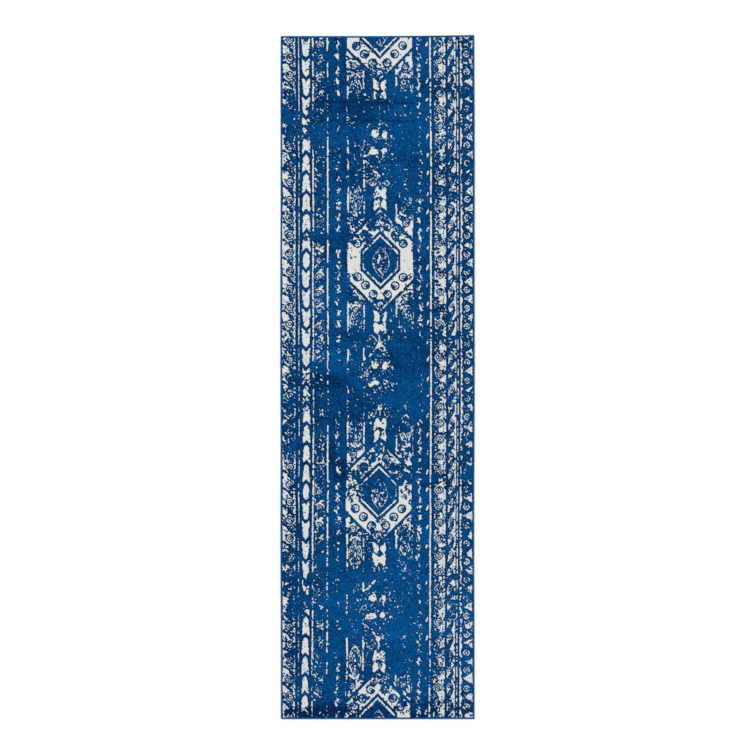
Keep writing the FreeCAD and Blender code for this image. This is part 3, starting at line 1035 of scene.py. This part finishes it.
class Nodes:
    """Short names for building a node material."""

    def __init__(self, name, roughness, sheen=0.0):
        self.material = bpy.data.materials.new(name)
        self.material.use_nodes = True
        self.tree = self.material.node_tree
        self.shader = self.tree.nodes["Principled BSDF"]
        self.shader.inputs["Roughness"].default_value = roughness
        self.shader.inputs["Specular IOR Level"].default_value = 0.03
        self.shader.inputs["Sheen Weight"].default_value = sheen
        self.shader.inputs["Sheen Roughness"].default_value = 0.6
        self.shader.inputs["Sheen Tint"].default_value = (1, 1, 1, 1)
        self.place = self.add("ShaderNodeTexCoord").outputs["Object"]

    def add(self, kind, **values):
        """A new node with its settings."""
        node = self.tree.nodes.new(kind)
        for key, value in values.items():
            setattr(node, key, value)
        return node

    def link(self, out, into):
        self.tree.links.new(out, into)

    def noise(self, per_metre, detail=2.0, stretch=(1, 1, 1)):
        """Noise from 0 to 1; per_metre is how many lumps there are to a metre."""
        mapping = self.add("ShaderNodeMapping")
        mapping.inputs["Scale"].default_value = stretch
        self.link(self.place, mapping.inputs["Vector"])
        node = self.add("ShaderNodeTexNoise")
        node.inputs["Scale"].default_value = per_metre
        node.inputs["Detail"].default_value = detail
        self.link(mapping.outputs["Vector"], node.inputs["Vector"])
        return node.outputs["Fac"]

    def attribute(self, name):
        """The value a mesh carries at each of its points."""
        return self.add("ShaderNodeAttribute", attribute_name=name).outputs["Fac"]

    def ramp(self, value, stops):
        """A colour ramp over (place, colour) stops."""
        node = self.add("ShaderNodeValToRGB")
        elements = node.color_ramp.elements
        while len(elements) < len(stops):
            elements.new(0.5)
        for element, (place, colour) in zip(elements, stops):
            element.position = place
            element.color = (*colour, 1)
        self.link(value, node.inputs["Fac"])
        return node.outputs["Color"]

    def math(self, operation, first, second):
        node = self.add("ShaderNodeMath", operation=operation)
        for socket, value in zip(node.inputs, (first, second)):
            if isinstance(value, (int, float)):
                socket.default_value = value
            else:
                self.link(value, socket)
        return node.outputs["Value"]

    def mix(self, share, first, second):
        """Two colours mixed by share; the second may be a constant."""
        node = self.add("ShaderNodeMix", data_type="RGBA")
        self.link(share, node.inputs["Factor"])
        self.link(first, node.inputs[6])
        if isinstance(second, tuple):
            node.inputs[7].default_value = (*second, 1.0)
        else:
            self.link(second, node.inputs[7])
        return node.outputs[2]

    def bump(self, height, distance, strength=1.0):
        node = self.add("ShaderNodeBump")
        node.inputs["Strength"].default_value = strength
        node.inputs["Distance"].default_value = distance
        self.link(height, node.inputs["Height"])
        self.link(node.outputs["Normal"], self.shader.inputs["Normal"])

    def colour(self, out):
        """Gives the shader its colour and returns the finished material."""
        self.link(out, self.shader.inputs["Base Color"])
        return self.material


def pile_material():
    """Cut pile: blue and ivory tufts, with a ragged line where the two meet."""
    n = Nodes("pile_tufts", 0.95, 0.008)
    tuft = n.noise(620, 2.0)
    ragged_line = n.math("ADD", n.attribute("ivory"),
                         n.math("MULTIPLY", n.math("SUBTRACT", tuft, 0.5), 0.55))
    fading = n.ramp(ragged_line, ((0.32, (0, 0, 0)), (0.55, (1, 1, 1))))
    clearing = n.ramp(ragged_line, ((0.50, (0, 0, 0)), (0.75, (1, 1, 1))))
    depth = n.math("ADD", n.attribute("tone"),
                   n.math("MULTIPLY", n.math("SUBTRACT", n.noise(900, 3.0), 0.5), 0.9))
    blue = n.ramp(depth, ((0.12, BLUE_DEEP), (0.50, BLUE_MIDDLE), (0.92, BLUE_LIGHT)))
    # Ivory tufts: painted shade and painted light on the tips, mixed by fine noise
    ivory = n.ramp(n.noise(750, 3.0), ((0.25, IVORY_SHADE), (0.70, IVORY_LIT_TIP)))
    n.bump(n.noise(800, 3.0), 0.6 * MM, 0.8)
    return n.colour(n.mix(clearing, n.mix(fading, blue, HALF_WORN), ivory))


def yarn_material(name):
    """Spun yarn: fine fibres along it and slow changes of shade."""
    dark, light, per_metre, stretch = YARNS[name]
    n = Nodes(name, 0.9, 0.01)
    fibre = n.noise(per_metre, 4.0, stretch)
    slow = n.noise(14, 2.0)
    shade = n.math("ADD", n.math("MULTIPLY", fibre, 0.7), n.math("MULTIPLY", slow, 0.3))
    n.bump(fibre, 0.15 * MM, 0.6)
    return n.colour(n.ramp(shade, ((0.30, dark), (0.70, light))))


def serging_material():
    """Serging yarn: painted highlight on top of each wrap, painted shade in the groove between
    two.
    """
    n = Nodes("serging_yarn", 0.85, 0.01)
    fibre = n.math("MULTIPLY", n.noise(1300, 3.0), 0.5)
    shade = n.math("ADD", n.math("MULTIPLY", n.attribute("wrap"), 0.55), fibre)
    n.bump(n.noise(1300, 3.0), 0.12 * MM, 0.6)
    stops = ((0.12, EDGE_GROOVE_SHADE), (0.55, EDGE_MIDDLE), (0.90, EDGE_CREST_HIGHLIGHT))
    return n.colour(n.ramp(shade, stops))


def back_material():
    """Jute and cotton back under a thin skin of latex, which sinks between the ribs."""
    n = Nodes("latex_back", 0.62, 0.0)
    wave = n.add("ShaderNodeTexWave", wave_type="BANDS", bands_direction="X")
    wave.inputs["Scale"].default_value = 64.0
    wave.inputs["Distortion"].default_value = 1.4
    wave.inputs["Detail"].default_value = 2.0
    n.link(n.place, wave.inputs["Vector"])
    fibre = n.noise(420, 4.0, (0.35, 1.6, 1))
    shade = n.math("ADD", n.math("MULTIPLY", wave.outputs["Fac"], 0.35),
                   n.math("MULTIPLY", fibre, 0.75))
    n.bump(n.math("ADD", wave.outputs["Fac"], fibre), 0.25 * MM, 0.6)
    stops = ((0.25, JUTE_COLOUR), (0.62, LATEX_COLOUR), (0.90, LATEX_SHINE))
    return n.colour(n.ramp(shade, stops))


def dress_hidden_nodes(materials):
    """Gives the CAD parts that stay a material of their own."""
    for node, material in materials.items():
        part = bpy.data.objects[node]
        if not part.material_slots:
            part.data.materials.append(material)
        for holder in part.material_slots:
            holder.material = material


# ---- floor, light, camera

def make_floor():
    """A plain pale floor, slightly uneven in tone."""
    steps = 15
    line = np.linspace(-FLOOR_HALF, FLOOR_HALF, steps)
    x, y = np.meshgrid(line, line, indexing="ij")
    points = np.stack([x, y, np.full_like(x, -FLOOR_DROP)], -1).reshape(-1, 3)
    mesh = bpy.data.meshes.new("studio_floor")
    mesh.from_pydata(points.tolist(), [], grid_faces(steps, steps)[:, ::-1].tolist())
    n = Nodes("floor_paper", 0.9)
    n.shader.inputs["Specular IOR Level"].default_value = 0.05
    n.colour(n.ramp(n.noise(3, 2.0), ((0.3, (0.955, 0.955, 0.955)), (0.7, (0.97, 0.97, 0.97)))))
    mesh.materials.append(n.material)
    floor = bpy.data.objects.new("studio_floor", mesh)
    bpy.context.scene.collection.objects.link(floor)
    return floor


def add_softbox(name, place, size, watts):
    """A large soft light aimed at the middle of the rug."""
    data = bpy.data.lights.new(name, "AREA")
    data.shape = "DISK"
    data.size = size
    data.energy = watts
    lamp = bpy.data.objects.new(name, data)
    lamp.location = place
    aim = -lamp.location.normalized()
    lamp.rotation_euler = aim.to_track_quat("-Z", "Y").to_euler()
    lamp.visible_camera = False
    bpy.context.scene.collection.objects.link(lamp)


def make_studio():
    """Even white light, a little stronger from the upper left."""
    world = bpy.data.worlds.new("studio")
    world.use_nodes = True
    world.node_tree.nodes["Background"].inputs["Color"].default_value = (1, 1, 1, 1)
    world.node_tree.nodes["Background"].inputs["Strength"].default_value = WORLD_STRENGTH
    bpy.context.scene.world = world
    for name, place, size, watts in SOFTBOXES:
        add_softbox(name, place, size, watts)
    bpy.context.scene.view_settings.view_transform = "Standard"
    bpy.context.scene.view_settings.look = "None"


def make_camera():
    """Straight above the rug, which runs up the picture."""
    data = bpy.data.cameras.new("camera")
    data.lens = CAMERA_LENS
    data.sensor_width = CAMERA_SENSOR
    camera = bpy.data.objects.new("camera", data)
    height = FRAME_WIDTH * CAMERA_LENS / CAMERA_SENSOR + PILE_HIGH.z
    camera.location = (0, 0, height)
    bpy.context.scene.collection.objects.link(camera)
    bpy.context.scene.camera = camera


# ---- putting it together

def main():
    edge_yarn = serging_material()
    lock = yarn_material("lock_yarn")
    pile = make_pile(pile_material())
    for node in EDGES:
        make_serging(node, edge_yarn)
        make_lock_thread(node, lock)
    back = make_back(back_material())
    label, stitches = make_label(yarn_material("label_tape"), yarn_material("label_thread"))

    hidden = {
        "stuffer_warps": yarn_material("warp_cotton"),
        "weft_face_shots": yarn_material("weft_jute"),
        "buried_pile_yarns": yarn_material("buried_yarn"),
    }
    filler = yarn_material("edge_filler")
    for node in EDGES:
        hidden[node + "_cord"] = filler
    dress_hidden_nodes(hidden)

    floor = make_floor()
    make_studio()
    make_camera()


main()
